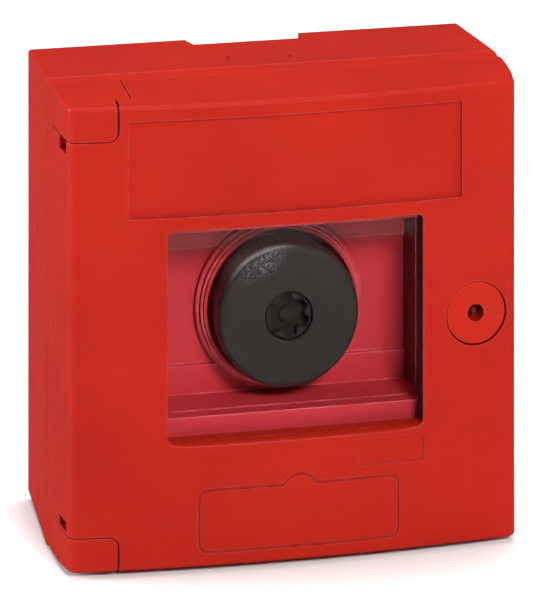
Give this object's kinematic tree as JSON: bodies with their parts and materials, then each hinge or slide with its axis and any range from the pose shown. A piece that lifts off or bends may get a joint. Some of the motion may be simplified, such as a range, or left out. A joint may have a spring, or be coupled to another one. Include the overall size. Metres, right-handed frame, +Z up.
{
  "type": "manual call point",
  "caption": "Surface-mounted emergency call box with a hinged glazed door, a key-operated door lock and a recessed mushroom push button.",
  "frame": {"origin": "centre of the flat back of the box, which lies on the wall (plane Y = 0)", "axes": "-Y points out of the wall towards the user, +Z is up, +X is to the user's right when facing the door"},
  "size_m": [0.1297, 0.0659, 0.1294],
  "materials": {
    "red_plastic": "satin moulded red",
    "inner_red_plastic": "satin moulded red, slightly darker",
    "black_plastic": "scuffed black",
    "dark_plastic": "plain black",
    "grey_plastic": "plain light grey",
    "rubber": "matt black",
    "glass": "clear polished",
    "brass": "bright",
    "steel": "zinc plated"
  },
  "bodies": {
    "base": {"back_box": "red_plastic", "front_frame": "red_plastic", "inner_cover": "inner_red_plastic", "button_collar": "inner_red_plastic", "operator_body": "dark_plastic", "operator_nut": "black_plastic", "operator_gasket": "rubber", "contact_holder": "dark_plastic", "contact_block_no": "grey_plastic", "contact_block_nc": "grey_plastic", "fixed_contact_no_upper": "brass", "fixed_contact_no_lower": "brass", "fixed_contact_nc_upper": "brass", "fixed_contact_nc_lower": "brass", "terminal_screw_no_upper": "steel", "terminal_screw_no_lower": "steel", "terminal_screw_nc_upper": "steel", "terminal_screw_nc_lower": "steel", "case_screw_upper_left": "steel", "case_screw_upper_right": "steel", "case_screw_lower_left": "steel", "case_screw_lower_right": "steel", "cover_screw_upper_left": "steel", "cover_screw_upper_right": "steel", "cover_screw_lower_left": "steel", "cover_screw_lower_right": "steel", "fixing_cap_upper_left": "grey_plastic", "fixing_cap_upper_right": "grey_plastic", "fixing_cap_lower_left": "grey_plastic", "fixing_cap_lower_right": "grey_plastic", "hinge_pin_upper": "steel", "hinge_pin_lower": "steel"},
    "door": {"door_panel": "red_plastic", "glass_pane": "glass", "glass_gasket": "rubber", "glass_retainer": "inner_red_plastic"},
    "lock": {"lock_disc": "red_plastic", "lock_pin": "steel", "lock_cam": "steel", "lock_screw": "steel", "lock_washer": "steel", "lock_nut": "steel"},
    "button": {"mushroom_head": "black_plastic", "plunger": "grey_plastic", "retaining_clip": "steel", "push_bar": "grey_plastic", "contact_slider_no": "dark_plastic", "contact_slider_nc": "dark_plastic", "contact_bridge_no": "brass", "contact_bridge_nc": "brass", "return_spring": "steel"},
    "reset": {"reset_socket": "dark_plastic"}
  },
  "joints": [
    {"name": "door_swing", "type": "hinge", "parent": "base", "child": "door", "pos_m": [-0.0583, -0.0602, 0], "axis": [0, 0, -1], "range_deg": [0, 115]},
    {"name": "lock_turn", "type": "hinge", "parent": "door", "child": "lock", "pos_m": [0.0515, -0.06, 0], "axis": [0, -1, 0], "range_deg": [0, 90]},
    {"name": "button_push", "type": "slide", "parent": "base", "child": "button", "axis": [0, 1, 0], "range_m": [0, 0.0045], "stiffness_N_per_m": 1500, "springref_m": -0.003, "deforming": ["return_spring"]},
    {"name": "reset_turn", "type": "hinge", "parent": "button", "child": "reset", "pos_m": [0.0009, -0.0518, -0.0007], "axis": [0, -1, 0], "range_deg": [0, 60]}
  ]
}
